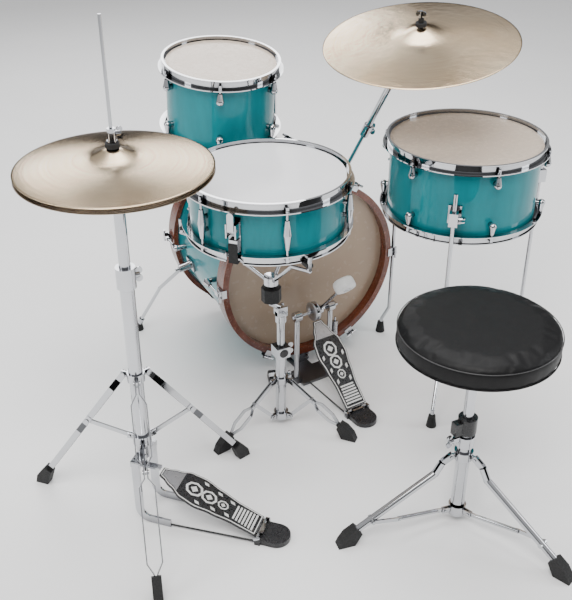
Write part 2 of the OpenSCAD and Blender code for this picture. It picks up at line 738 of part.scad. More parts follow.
module throne_leg(i) {
  color(chrome) at_throne() rotate([0, 0, throne_start + 120 * i]) {
    foot = throne_foot;
    // Flat twin ears at the pivot, then a bent tube.
    bend = [48, 168];
    aim(throne_top, bend) {
      for (s = [-1, 1]) translate([-6, s > 0 ? gap_in : -gap_in - ear_t, -7])
        cube([22, ear_t, 14]);
      rotate([90, 0, 0]) translate([0, 0, -6.5]) cylinder(r = bolt_r, h = 13);
      translate([15, -gap_in - ear_t, -7]) cube([6, 2 * gap_in + 2 * ear_t, 14]);
    }
    bent_bar([[bend[0], 0, bend[1]], [throne_knee[0], 0, throne_knee[1]], [foot[0], 0, foot[1]]],
      throne_leg_r);
    translate([throne_joint[0], 0, throne_joint[1]]) rotate([90, 0, 0])
      cylinder(r = 5.5, h = 2 * throne_leg_r + 0.4, center = true);
    rubber_foot(24) polygon([[foot[0] - 28, 28], [foot[0] - 15, 44], [foot[0] + 7, 30],
      [foot[0] + 19, 12], [foot[0] + 24, 0], [foot[0] - 13, 0]]);
  }
}
module throne_brace(i) {
  low = throne_low - [0, 4];
  color(chrome) at_throne() rotate([0, 0, throne_start + 120 * i])
    aim(low, throne_joint) {
      len = norm(throne_joint - low);
      difference() {
        union() {
          translate([0, -tab_t, -5]) cube([22, 2 * tab_t, 10]);
          translate([0, -tab_t, 0]) rotate([-90, 0, 0]) cylinder(r = 5, h = 2 * tab_t);
        }
        translate([0, -5, 0]) rotate([-90, 0, 0]) cylinder(r = hole_r + fit, h = 10);
      }
      bar([17, 0, 0], [len - 58, throne_leg_r + 0.6, 0], 5);
      translate([len - 64, throne_leg_r + 0.5, -4.5]) cube([64, 2 * tab_t, 9]);
      translate([len, throne_leg_r + 0.5, 0]) rotate([-90, 0, 0]) {
        cylinder(r = 5, h = 2 * tab_t);
        cylinder(r = 4, h = 2 * tab_t + 2.4);
      }
    }
}

// ---------- Hi-hat stand ----------

hihat_start = 13.6;
hihat_tube_r = 14.3;
hihat_top_pivot = [27, 354];
hihat_foot = [262, 16];
hihat_joint_at = 176;
hihat_low = [27, 196];
hihat_leg_len = norm(hihat_foot - hihat_top_pivot);
hihat_dir = (hihat_foot - hihat_top_pivot) / hihat_leg_len;
hihat_joint = hihat_top_pivot + hihat_dir * hihat_joint_at;
module at_hihat() {
  translate(kit_shift + [hihat_xy[0], hihat_xy[1], 0]) children();
}
// The pedal's own +Y runs from the heel to the toe, and its origin is under the stand's axis.
module at_hihat_pedal() {
  at_hihat() rotate([0, 0, hihat_pedal_yaw]) children();
}
board_len = 244;
// A footboard's outline: [distance from the hinge, half its width].
board_shape = [[5.5, 30], [60, 31], [112, 37], [150, 43], [182, 40], [212, 26], [236, 15],
  [board_len, 12]];
barrel_x = [16, 28];
module footboard() {
  n = len(board_shape);
  right = [for (p = board_shape) [p[1], p[0]]];
  left = [for (i = [n - 1:-1:0]) [-board_shape[i][1], board_shape[i][0]]];
  difference() {
    union() {
      translate([0, 0, 2]) linear_extrude(height = 6) polygon(concat(right, left));
      for (s = [-1, 1]) mirror([s < 0 ? 1 : 0, 0, 0]) translate([barrel_x[0], 0, 0]) {
        rotate([0, 90, 0]) cylinder(r = 5.5, h = barrel_x[1] - barrel_x[0]);
        translate([0, 0, 1]) cube([barrel_x[1] - barrel_x[0], 10, 4.2]);
      }
    }
    translate([-40, 0, 0]) rotate([0, 90, 0]) cylinder(r = hole_r, h = 80);
  }
}
hinge_z = 14;
// The heel plate on the floor, with its cheeks and hinge pin.
module heel_plate() {
  translate([0, -36, 0]) cylinder(r = 30, h = 12);
  translate([-30, -36, 0]) cube([60, 27, 12]);
  for (x = [[-34, -28.6], [-15.4, 15.4], [28.6, 34]]) translate([x[0], 0, 0]) {
    translate([0, -10, 0]) cube([x[1] - x[0], 9, hinge_z + 4.6]);
    translate([0, -4.6, 0]) cube([x[1] - x[0], 7, hinge_z]);
    translate([0, 0, hinge_z]) rotate([0, 90, 0]) cylinder(r = 4.6, h = x[1] - x[0]);
  }
  translate([-34, 0, hinge_z]) rotate([0, 90, 0]) cylinder(r = bolt_r, h = 68);
}
// Two wires that hold the heel plate at its distance.
module radius_rods(from_y, to_y, from_x) {
  for (s = [-1, 1]) bar([s * from_x, from_y, 6], [s * 27, to_y, 6], 2);
}

hihat_hinge_y = -262;
hihat_board_angle = 22.6;
frame_x = 40;
module hihat_base() {
  color(chrome) {
    at_hihat() {
      difference() {
        union() {
          translate([0, 0, 150]) cylinder(r = hihat_tube_r, h = 415);
          hub_ring(0, 20, 22, hihat_low[0], hihat_low[1], hihat_start, true);
          translate([0, 0, 561]) cylinder(r = 19, h = 44);
          translate([17, 0, 583]) rotate([0, 90, 0]) wing();
          rotate([0, 0, hihat_pedal_yaw]) translate([-frame_x - 2, -11, 146]) cube([84, 22, 14]);
        }
        translate([0, 0, 170]) cylinder(r = 12.4, h = 399);
        translate([0, 0, 140]) cylinder(r = 4.2, h = 60);
        translate([0, 0, 560]) cylinder(r = 11 + fit, h = 50);
      }
      hub_bolts(hihat_low[0], hihat_low[1], hihat_start);
    }
    at_hihat_pedal() {
      // J-shaped frame: two flat uprights that curve into feet along the floor.
      for (s = [-1, 1]) translate([s * frame_x - 2.5, 0, 0]) rotate([90, 0, 90])
        linear_extrude(height = 5) {
          translate([-9, 34]) square([18, 124]);
          translate([-25, 34]) difference() {
            circle(r = 34);
            circle(r = 16);
            translate([-40, -40]) square([40, 80]);
            translate([-1, 0]) square([40, 40]);
          }
          translate([-72, 0]) square([47.5, 18]);
        }
      radius_rods(-70, hihat_hinge_y - 20, frame_x);
      translate([0, hihat_hinge_y, 0]) heel_plate();
    }
  }
}
module hihat_collar() {
  color(chrome) at_hihat() {
    hub_ring(hihat_tube_r + fit, 18, 20, hihat_top_pivot[0], hihat_top_pivot[1], hihat_start,
      false);
    rotate([0, 0, hihat_start + 60]) translate([17, 0, hihat_top_pivot[1]]) rotate([0, 90, 0])
      wing(24);
  }
}
module hihat_leg(i) {
  color(chrome) at_hihat() rotate([0, 0, hihat_start + 120 * i]) {
    aim(hihat_top_pivot, hihat_foot) strip_leg(hihat_leg_len, hihat_joint_at, 14, 13, true);
    rubber_foot(20) polygon([[237, 37], [252, 49], [275, 21], [280, 0], [250, 0]]);
  }
}
module hihat_brace(i) {
  color(chrome) at_hihat() rotate([0, 0, hihat_start + 120 * i])
    aim(hihat_low, hihat_joint) flat_brace(norm(hihat_joint - hihat_low), 10);
}
hat_rise = 34;
hat_bell = 16;
seat_z = hat_z - hat_rise;
module hihat_tube() {
  color(chrome) at_hihat() {
    pipe(11, 9.4, 300, seat_z - 12);
    // Cup that the bottom cymbal lies on.
    difference() {
      union() {
        translate([0, 0, seat_z - 30]) cylinder(r = 14, h = 20);
        translate([0, 0, seat_z - 10]) cylinder(r = 24, h = 5);
        translate([0, 0, seat_z - 5]) cylinder(r = 19, h = 3.2);
      }
      translate([0, 0, seat_z - 40]) cylinder(r = 4.2, h = 60);
    }
  }
}
module hihat_bottom() {
  color(bronze) at_hihat() translate([0, 0, seat_z]) mirror([0, 0, 1])
    cymbal(hat_r, hat_rise - hat_bell, hat_bell, 55, 6, 1.3);
}
hat_top_z = hat_z + hat_gap + hat_rise;
module hihat_top() {
  color(bronze) at_hihat() translate([0, 0, hat_top_z])
    cymbal(hat_r, hat_rise - hat_bell, hat_bell, 55, 6, 1.3);
}
rod_top = 1072;
rod_low = 118;
// Pull rod with the clutch that clamps the top cymbal, and the link down to the footboard's toe.
module pull_rod() {
  color(chrome) {
    at_hihat() {
      translate([0, 0, rod_low]) cylinder(r = 3, h = rod_top - rod_low);
      difference() {
        union() {
          translate([0, 0, hat_top_z - 10]) cylinder(r = 9, h = 6);
          translate([0, 0, hat_top_z - 4]) cylinder(r = 5.4, h = 20);
          translate([0, 0, hat_top_z + 2]) cylinder(r = 13, h = 9);
          translate([0, 0, hat_top_z + 11]) cylinder(r = 9, h = 4);
          translate([0, 0, hat_top_z + 15]) cylinder(r = 7.5, h = 22);
          translate([6, 0, hat_top_z + 27]) rotate([0, 90, 0]) wing(22);
        }
        translate([0, 0, hat_top_z - 20]) cylinder(r = 3, h = 80);
      }
    }
    at_hihat_pedal() {
      translate([-7, -38, rod_low + 2]) cube([14, 42, 5]);
      translate([-5, -5, rod_low - 2]) cube([10, 10, 16]);
    }
  }
}
module hihat_footboard() {
  color(black) at_hihat_pedal() translate([0, hihat_hinge_y, hinge_z])
    rotate([hihat_board_angle, 0, 0]) footboard();
}

// ---------- Bass drum pedal ----------

module at_pedal() {
  translate(kit_shift + [pedal_xy[0], pedal_xy[1], 0]) rotate([0, 0, pedal_yaw]) children();
}
axle_z = 200;
axle_r = 5;
pedal_hinge_y = -196;
pedal_board_angle = 41;
post_x = 51;
module pedal_frame() {
  color(chrome) at_pedal() {
    translate([-48, -30, 0]) cube([96, 66, 7]);
    translate([-22, 34, 0]) cube([44, 60, 7]);
    // Hoop clamp with its wing bolt.
    translate([-16, 58, 6]) cube([32, 34, bass_axis_z - wood_hoop_r - 7]);
    translate([16, 66, 16]) rotate([0, 90, 0]) wing(24);
    for (s = [-1, 1]) difference() {
      union() {
        translate([s * post_x - 9, -14, 0]) cube([18, 28, 12]);
        bar([s * post_x, 0, 10], [s * post_x, 0, axle_z], 7);
        translate([s * post_x - 9, 0, axle_z]) rotate([0, 90, 0]) cylinder(r = 13, h = 18);
      }
      translate([s * post_x - 20, 0, axle_z]) rotate([0, 90, 0])
        cylinder(r = axle_r + fit, h = 40);
    }
    // Return spring beside the right post, on its stud.
    translate([post_x + 17, 0, 52]) cylinder(r = 6.5, h = 96);
    translate([post_x + 17, 0, 30]) cylinder(r = 2.5, h = 130);
    translate([post_x, -6, 30]) cube([22, 12, 5]);
    radius_rods(-28, pedal_hinge_y - 20, 30);
    translate([0, pedal_hinge_y, 0]) heel_plate();
  }
}
module pedal_footboard() {
  color(black) at_pedal() translate([0, pedal_hinge_y, hinge_z])
    rotate([pedal_board_angle, 0, 0]) footboard();
}
beater_back = 41;
beater_len = 160;
beater_x = 17;
// Axle, cam, drive strap, beater shaft and beater, which turn together.
module pedal_beater() {
  color(chrome) at_pedal() translate([0, 0, axle_z]) {
    translate([-post_x - 14, 0, 0]) rotate([0, 90, 0]) cylinder(r = axle_r, h = 2 * post_x + 32);
    translate([-7, 0, 0]) rotate([0, 90, 0]) cylinder(r = 25, h = 14);
    translate([beater_x - 7, 0, 0]) rotate([0, 90, 0]) cylinder(r = 12, h = 14);
    translate([post_x + 11, -4, -3]) cube([10, 22, 6]);
    rotate([beater_back, 0, 0]) translate([beater_x, 0, 0]) {
      cylinder(r = 4, h = beater_len);
      translate([0, 18, beater_len]) rotate([90, 0, 0]) cylinder(r = 27, h = 32);
    }
  }
}

bass_shell();
bass_hoops();
bass_heads();
bass_hardware();
spur_left();
spur_right();
drum_arms();
cymbal_tilter();
crash_cymbal();
rack_tom_shell();
rack_tom_hoops();
rack_tom_heads();
rack_tom_hardware();
floor_tom_shell();
floor_tom_hoops();
floor_tom_heads();
floor_tom_hardware();
floor_tom_legs();
snare_shell();
snare_hoops();
snare_heads();
snare_hardware();
throw_off_lever();
snare_stand_base();
snare_stand_collar();
snare_stand_post();
snare_basket();
snare_leg(0);  // snare_leg_1
snare_leg(1);  // snare_leg_2
snare_leg(2);  // snare_leg_3
snare_brace(0);  // snare_brace_1
snare_brace(1);  // snare_brace_2
snare_brace(2);  // snare_brace_3
throne_hub();
throne_collar();
throne_post();
seat_plate();
seat_cushion();
throne_leg(0);  // throne_leg_1
throne_leg(1);  // throne_leg_2
throne_leg(2);  // throne_leg_3
throne_brace(0);  // throne_brace_1
throne_brace(1);  // throne_brace_2
throne_brace(2);  // throne_brace_3
hihat_base();
hihat_collar();
hihat_tube();
pull_rod();
hihat_top();
hihat_bottom();
hihat_footboard();
hihat_leg(0);  // hihat_leg_1
hihat_leg(1);  // hihat_leg_2
hihat_leg(2);  // hihat_leg_3
hihat_brace(0);  // hihat_brace_1
hihat_brace(1);  // hihat_brace_2
hihat_brace(2);  // hihat_brace_3
pedal_frame();
pedal_footboard();
pedal_beater();
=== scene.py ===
import json, math
import bpy, bmesh
from mathutils import Matrix, Vector, noise

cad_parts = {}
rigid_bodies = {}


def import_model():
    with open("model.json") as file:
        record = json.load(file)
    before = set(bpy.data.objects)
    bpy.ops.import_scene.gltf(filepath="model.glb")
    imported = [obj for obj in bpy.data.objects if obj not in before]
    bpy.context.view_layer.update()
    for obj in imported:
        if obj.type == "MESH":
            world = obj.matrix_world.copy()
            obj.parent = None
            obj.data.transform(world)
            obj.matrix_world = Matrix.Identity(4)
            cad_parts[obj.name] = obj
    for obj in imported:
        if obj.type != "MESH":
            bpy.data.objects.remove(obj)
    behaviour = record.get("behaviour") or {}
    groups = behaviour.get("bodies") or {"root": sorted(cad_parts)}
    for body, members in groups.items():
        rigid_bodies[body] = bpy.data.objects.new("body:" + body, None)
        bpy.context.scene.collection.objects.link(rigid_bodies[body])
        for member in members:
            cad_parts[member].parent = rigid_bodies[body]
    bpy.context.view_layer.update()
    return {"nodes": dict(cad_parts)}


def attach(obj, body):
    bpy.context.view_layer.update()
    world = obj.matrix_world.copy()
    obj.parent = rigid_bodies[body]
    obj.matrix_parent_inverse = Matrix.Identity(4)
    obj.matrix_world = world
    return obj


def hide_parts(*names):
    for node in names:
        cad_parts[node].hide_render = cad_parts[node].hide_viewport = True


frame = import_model()
NODE = frame["nodes"]
scene = bpy.context.scene

# ---------------------------------------------------------------- camera

cam_data = bpy.data.cameras.new("camera")
cam_data.lens, cam_data.sensor_width = 55.55, 36
cam_data.clip_start, cam_data.clip_end = 0.05, 100
cam = bpy.data.objects.new("camera", cam_data)
cam.location = (-0.9129, -1.5456, 1.4431)
cam.rotation_euler = (math.radians(59.127), 0, math.radians(-27.57))
scene.collection.objects.link(cam)
scene.camera = cam


def link(ob):
    scene.collection.objects.link(ob)
    return ob


def new_mesh(name, verts, faces, smooth=True):
    me = bpy.data.meshes.new(name)
    me.from_pydata([tuple(v) for v in verts], [], faces)
    me.validate()
    me.update()
    me.polygons.foreach_set("use_smooth", [smooth] * len(me.polygons))
    return link(bpy.data.objects.new(name, me))


# ---------------------------------------------------------------- node helpers


class Nodes:
    """A short way to write a material's node tree."""

    def __init__(self, name):
        self.mat = bpy.data.materials.new(name)
        self.mat.use_nodes = True
        self.tree = self.mat.node_tree
        self.shader = self.tree.nodes["Principled BSDF"]

    def add(self, kind, **values):
        n = self.tree.nodes.new("ShaderNode" + kind)
        for k, v in values.items():
            if k in n.inputs:
                n.inputs[k].default_value = v
            else:
                setattr(n, k, v)
        return n

    def join(self, a, b):
        self.tree.links.new(a, b)

    def set(self, **values):
        for k, v in values.items():
            k = k.replace("_", " ")
            self.shader.inputs[k].default_value = (*v, 1) if isinstance(v, tuple) else v

    def coords(self, scale=(1, 1, 1)):
        t, m = self.add("TexCoord"), self.add("Mapping")
        m.inputs["Scale"].default_value = scale
        self.join(t.outputs["Object"], m.inputs["Vector"])
        return m.outputs[0]

    def noise(self, scale, at=None, detail=3.0, rough=0.5):
        n = self.add("TexNoise", Scale=scale, Detail=detail, Roughness=rough)
        self.join(at or self.coords(), n.inputs["Vector"])
        return n.outputs["Fac"]

    def ramp(self, value, stops, out=None):
        r = self.add("ValToRGB")
        els = r.color_ramp.elements
        while len(els) < len(stops):
            els.new(0.5)
        for e, (p, c) in zip(els, stops):
            e.position = p
            e.color = (*c, 1) if isinstance(c, tuple) else (c, c, c, 1)
        self.join(value, r.inputs["Fac"])
        if out:
            self.join(r.outputs["Color"], self.shader.inputs[out])
        return r.outputs["Color"]

    def bump(self, height, strength, distance=0.001, under=None):
        b = self.add("Bump", Strength=strength, Distance=distance)
        self.join(height, b.inputs["Height"])
        if under:
            self.join(under, b.inputs["Normal"])
        self.join(b.outputs["Normal"], self.shader.inputs["Normal"])
        return b.outputs["Normal"]

    def mix(self, a, b, fac):
        m = self.add("Mix", data_type="RGBA", blend_type="MULTIPLY")
        for socket, value in ((m.inputs[0], fac), (m.inputs[6], a), (m.inputs[7], b)):
            if hasattr(value, "is_linked"):
                self.join(value, socket)
            else:
                socket.default_value = (*value, 1) if isinstance(value, tuple) else value
        return m.outputs[2]

    def math(self, op, a, b=0.0):
        m = self.add("Math", operation=op)
        for i, v in enumerate((a, b)):
            if hasattr(v, "is_linked"):
                self.join(v, m.inputs[i])
            else:
                m.inputs[i].default_value = v
        return m.outputs[0]


def chrome(name, tint=(0.58, 0.59, 0.615), low=0.03, high=0.09):
    """Polished plate: faint haze and polishing marks, and painted shade that darkens the colour in
    crevices and near the joints.
    """
    n = Nodes(name)
    n.set(Metallic=1.0)
    haze = n.noise(34, detail=4)
    n.ramp(haze, [(0.35, low), (0.75, high)], "Roughness")
    spots = n.noise(9, detail=5, rough=0.65)
    plate = n.ramp(spots, [(0.3, tuple(c * 0.93 for c in tint)), (0.62, tint)])
    # Painted shade: an ambient-occlusion node multiplies the plate colour darker in crevices and near the
    # joints.
    near = n.add("AmbientOcclusion", samples=6)
    near.inputs["Distance"].default_value = 0.035
    dark = n.ramp(near.outputs["AO"], [(0.25, (0.06, 0.06, 0.065)), (0.85, (1, 1, 1))])
    n.join(n.mix(plate, dark, 1.0), n.shader.inputs["Base Color"])
    fine = n.noise(420, n.coords((1, 1, 0.12)), detail=2)
    n.bump(fine, 0.03, 0.0004)
    return n.mat


def brushed(name, tint, low, high, along=(1, 1, 0.04)):
    n = Nodes(name)
    n.set(Metallic=1.0)
    lines = n.noise(520, n.coords(along), detail=2)
    n.ramp(lines, [(0.3, low), (0.7, high)], "Roughness")
    blot = n.noise(18, detail=4)
    n.ramp(blot, [(0.3, tuple(c * 0.8 for c in tint)), (0.7, tint)], "Base Color")
    n.bump(lines, 0.12, 0.0003)
    return n.mat


def lacquer(name, deep, light):
    """Clear-coated gloss paint on wood: slight depth change, orange peel and fine dust."""
    n = Nodes(name)
    n.set(Roughness=0.36, Specular_IOR_Level=0.12, Coat_Weight=0.55, Coat_Roughness=0.02, Coat_IOR=1.4)
    grain = n.noise(26, n.coords((1, 1, 0.25)), detail=6, rough=0.6)
    n.ramp(grain, [(0.3, deep), (0.72, light)], "Base Color")
    peel = n.noise(150, detail=2)
    n.bump(peel, 0.035, 0.0006)
    return n.mat


def wood(name, tones, grain_along, scale=42, rough=(0.3, 0.45), coat=0.0):
    """Wood with long grain lines and pores; grain_along squeezes the texture along one axis."""
    n = Nodes(name)
    n.set(Coat_Weight=coat, Coat_Roughness=0.08)
    at = n.coords(grain_along)
    broad = n.noise(scale, at, detail=7, rough=0.62)
    fine = n.noise(scale * 7, at, detail=3)
    both = n.math("ADD", n.math("MULTIPLY", broad, 0.75), n.math("MULTIPLY", fine, 0.25))
    n.ramp(both, [(0.32, tones[0]), (0.5, tones[1]), (0.68, tones[2])], "Base Color")
    n.ramp(fine, [(0.3, rough[0]), (0.7, rough[1])], "Roughness")
    n.bump(fine, 0.05, 0.0006)
    return n.mat


def plastic(name, tint, low=0.35, high=0.55, grain=260, depth=0.15):
    n = Nodes(name)
    g = n.noise(grain, detail=3)
    n.ramp(g, [(0.3, low), (0.7, high)], "Roughness")
    wide = n.noise(22, detail=4)
    n.ramp(wide, [(0.3, tuple(c * 0.75 for c in tint)), (0.7, tint)], "Base Color")
    n.bump(g, depth, 0.0005)
    return n.mat


def film(name, tint, dark, alpha, rough):
    """Drum head film: thin tinted plastic with hazy smudges from play."""
    n = Nodes(name)
    n.set(Alpha=alpha, Coat_Weight=0.25, Coat_Roughness=0.12)
    cloud = n.noise(6, detail=3, rough=0.5)
    n.ramp(cloud, [(0.3, dark), (0.7, tint)], "Base Color")
    n.ramp(n.noise(60, detail=3), [(0.3, rough), (0.7, rough + 0.12)], "Roughness")
    n.bump(n.noise(300, detail=2), 0.05, 0.0004)
    return n.mat


def bronze(name, tone, groove=2600.0, hammer=0.0, rough=(0.2, 0.32)):
    """Lathed cymbal bronze about the object's own Z: turning grooves, bands and patina."""
    n = Nodes(name)
    n.set(Metallic=1.0, Anisotropic=0.9)
    tan = n.add("Tangent", direction_type="RADIAL", axis="Z")
    n.join(tan.outputs[0], n.shader.inputs["Tangent"])
    at = n.coords()
    split = n.add("SeparateXYZ")
    n.join(at, split.inputs[0])
    x, y = split.outputs[0], split.outputs[1]
    r = n.math("SQRT", n.math("ADD", n.math("MULTIPLY", x, x), n.math("MULTIPLY", y, y)))
    wob = n.math("MULTIPLY", n.noise(7, at, detail=3), 0.004)
    rr = n.math("ADD", r, wob)
    ring = n.math("SINE", n.math("MULTIPLY", rr, groove))
    comb = n.add("CombineXYZ")
    n.join(n.math("MULTIPLY", rr, 90.0), comb.inputs[0])
    band = n.noise(1.6, comb.outputs[0], detail=6, rough=0.7)
    tones = [(0.25, tuple(c * 0.72 for c in tone)), (0.5, tuple(c * 0.92 for c in tone)), (0.75, tone)]
    base = n.ramp(band, tones)
    patina = n.ramp(n.noise(5.5, at, detail=5), [(0.35, (0.86, 0.80, 0.72)), (0.65, (1, 1, 1))])
    n.join(n.mix(base, patina, 1.0), n.shader.inputs["Base Color"])
    n.ramp(band, [(0.2, rough[1]), (0.8, rough[0])], "Roughness")
    lathe = n.math("ADD", n.math("MULTIPLY", ring, 0.12), n.math("MULTIPLY", band, 0.9))
    b = n.bump(lathe, 0.10, 0.0006)
    if hammer:
        v = n.add("TexVoronoi", Scale=52.0, feature="SMOOTH_F1")
        n.join(at, v.inputs["Vector"])
        soft = n.noise(85, at, detail=2)
        n.bump(n.math("ADD", v.outputs["Distance"], n.math("MULTIPLY", soft, 0.4)), hammer, 0.0016, b)
    return n.mat


M = {
    "chrome": chrome("chrome_plate"),
    "hoop": chrome("hoop_chrome", (0.66, 0.67, 0.69), 0.025, 0.07),
    "steel": brushed("dark_steel", (0.16, 0.16, 0.17), 0.3, 0.5),
    "satin": brushed("satin_steel", (0.55, 0.55, 0.57), 0.25, 0.42),
    "teal": lacquer("teal_lacquer", (0.0, 0.17, 0.20), (0.0, 0.235, 0.27)),
    "inner": wood("inner_ply", [(0.52, 0.36, 0.24), (0.58, 0.41, 0.28), (0.64, 0.47, 0.33)],
                  (1, 1, 6), 26, (0.4, 0.6)),
    "edge": wood("bearing_edge", [(0.45, 0.28, 0.17), (0.6, 0.41, 0.27), (0.7, 0.5, 0.34)],
                 (1, 1, 6), 60),
    "hoop_wood": wood("hoop_wood", [(0.06, 0.012, 0.005), (0.12, 0.026, 0.010),
                      (0.19, 0.048, 0.018)], (1.0, 6.0, 1.0), 24, (0.16, 0.3), coat=0.4),
    "clear": film("clear_head", (0.80, 0.69, 0.58), (0.76, 0.65, 0.54), 0.66, 0.2),
    "bass_clear": film("bass_head", (0.47, 0.36, 0.26), (0.42, 0.31, 0.22), 0.74, 0.18),
    "coated": film("coated_head", (0.80, 0.80, 0.82), (0.75, 0.75, 0.775), 1.0, 0.55),
    "rubber": plastic("black_rubber", (0.006, 0.006, 0.0065), 0.55, 0.8, 320, 0.3),
    "black": plastic("black_enamel", (0.016, 0.016, 0.018), 0.22, 0.38, 240, 0.1),
    "felt": plastic("felt", (0.02, 0.02, 0.021), 0.85, 1.0, 700, 0.9),
    "white": plastic("white_plastic", (0.8, 0.8, 0.79), 0.25, 0.4, 200, 0.06),
    "ring": chrome("head_ring", (0.72, 0.73, 0.75), 0.14, 0.26),
    "crash": bronze("crash_bronze", (0.88, 0.71, 0.50), hammer=0.3, rough=(0.17, 0.27)),
    "hat": bronze("hat_bronze", (0.76, 0.61, 0.43), rough=(0.16, 0.28)),
    # Painted shade: the bottom hi-hat is the same bronze as the top one, given a much darker tone for the
    # shade under the top cymbal.
    "hat_bottom_shaded": bronze("hat_bottom_shaded_bronze", (0.42, 0.36, 0.29), rough=(0.2, 0.34)),
}

# ---------------------------------------------------------------- stage

floor = new_mesh("floor", [(-90, -90, -0.0006), (90, -90, -0.0006), (90, 90, -0.0006),
                 (-90, 90, -0.0006)], [(0, 1, 2, 3)])
fl = Nodes("floor")
fl.set(Roughness=0.8, Specular_IOR_Level=0.05)
fl.ramp(fl.noise(3.0, detail=4), [(0.3, (0.93, 0.93, 0.935)), (0.7, (0.95, 0.95, 0.952))],
        "Base Color")
floor.data.materials.append(fl.mat)

world = bpy.data.worlds.new("studio")
world.use_nodes = True
scene.world = world
wt = world.node_tree
bg = wt.nodes["Background"]
coord, sep = wt.nodes.new("ShaderNodeTexCoord"), wt.nodes.new("ShaderNodeSeparateXYZ")
wt.links.new(coord.outputs["Generated"], sep.inputs[0])
ramp = wt.nodes.new("ShaderNodeValToRGB")
stops = [(0.0, 0.8), (0.47, 0.8), (0.49, 0.12), (0.52, 0.015), (0.62, 0.012), (0.66, 0.5),
         (0.72, 0.95), (0.9, 1.0)]
els = ramp.color_ramp.elements
while len(els) < len(stops):
    els.new(0.5)
for e, (p, c) in zip(els, stops):
    e.position, e.color = p, (c, c, c * 1.01, 1)
half = wt.nodes.new("ShaderNodeMath")
half.operation, half.inputs[1].default_value = "MULTIPLY_ADD", 0.5
half.inputs[2].default_value = 0.5
wt.links.new(sep.outputs[2], half.inputs[0])
wt.links.new(half.outputs[0], ramp.inputs[0])
bg.inputs["Strength"].default_value = 0.6
plain = wt.nodes.new("ShaderNodeBackground")
plain.inputs["Color"].default_value = (0.93, 0.93, 0.935, 1)
plain.inputs["Strength"].default_value = 0.9
path, mixer = wt.nodes.new("ShaderNodeLightPath"), wt.nodes.new("ShaderNodeMixShader")
wt.links.new(ramp.outputs[0], bg.inputs["Color"])
wt.links.new(path.outputs["Is Camera Ray"], mixer.inputs[0])
wt.links.new(bg.outputs[0], mixer.inputs[1])
wt.links.new(plain.outputs[0], mixer.inputs[2])
wt.links.new(mixer.outputs[0], wt.nodes["World Output"].inputs["Surface"])


def softbox(name, at, aim, size, power, tint=(1, 1, 1)):
    d = bpy.data.lights.new(name, "AREA")
    d.shape, d.size, d.size_y, d.energy, d.color = "RECTANGLE", size[0], size[1], power, tint
    ob = link(bpy.data.objects.new(name, d))
    ob.location = at
    ob.rotation_mode = "QUATERNION"
    ob.rotation_quaternion = (Vector(aim) - Vector(at)).to_track_quat("-Z", "Y")


softbox("key", (-1.2, -1.6, 3.4), (0, 0, 0.4), (2.4, 1.6), 112, (1.0, 0.985, 0.96))
softbox("top", (0.5, 0.6, 3.6), (0.1, 0, 0.3), (2.6, 1.8), 80)
softbox("right", (3.2, -1.8, 1.7), (0.1, -0.1, 0.5), (0.8, 2.2), 40, (0.96, 0.98, 1.0))
softbox("left", (-3.0, 0.3, 1.9), (-0.1, 0, 0.5), (0.7, 2.2), 34)
softbox("back", (0.6, 3.4, 2.3), (0, 0, 0.5), (2.2, 1.2), 44)

# ---------------------------------------------------------------- places, in metres

SHIFT = Vector((0.107, 0.292, 0))


def place(x, y, z=0.0, yaw=0.0, pitch=0.0):
    """A group's own frame: its origin, then its turn about Z, then its tilt about X."""
    return (Matrix.Translation(SHIFT + Vector((x, y, z))) @ Matrix.Rotation(math.radians(yaw), 4, "Z")
            @ Matrix.Rotation(math.radians(pitch), 4, "X"))


BASS = place(0, 0, 0.280, 0, 90)
SNARE = place(-0.225, -0.230, 0.681)
RACK = place(-0.173, 0.108, 0.820, 0, 6.5)
TOM = place(0.315, -0.201, 0.649)
CRASH = place(0.247, -0.0836, 0.866, -55.7, 10.7)
STAND = place(-0.186, -0.214)
THRONE = place(-0.002, -0.687)
HAT = place(-0.583, -0.347)
HAT_PEDAL = place(-0.583, -0.347, 0, 44)
PEDAL = place(-0.020, -0.076, 0, 5)


def paint(node, base, at=None, *rules):
    """Gives a CAD node its materials. A rule is (material, test), and the test gets a face's middle and
    normal in the group's own frame, in millimetres."""
    me = NODE[node].data
    me.materials.clear()
    me.materials.append(M[base])
    for mat, _ in rules:
        me.materials.append(M[mat])
    inv = (at or Matrix.Identity(4)).inverted()
    turn = inv.to_3x3()
    index = []
    for p in me.polygons:
        c, n, k = (inv @ p.center) * 1000, turn @ p.normal, 0
        for i, (_, test) in enumerate(rules):
            if test(c, n):
                k = i + 1
                break
        index.append(k)
    me.polygons.foreach_set("material_index", index)
    me.update()


def reach(c):
    return math.hypot(c.x, c.y)


def inward(c, n):
    return (n.x * c.x + n.y * c.y) / max(reach(c), 1e-6)


def drum(prefix, at, r, film_name, hoop="hoop", shell="teal"):
    paint(prefix + "_shell", shell, at, ("inner", lambda c, n: inward(c, n) < -0.5),
          ("edge", lambda c, n: abs(n.z) > 0.7))
    paint(prefix + "_hoops", hoop)
    paint(prefix + "_heads", film_name, at, ("ring", lambda c, n: reach(c) > r + 0.9))


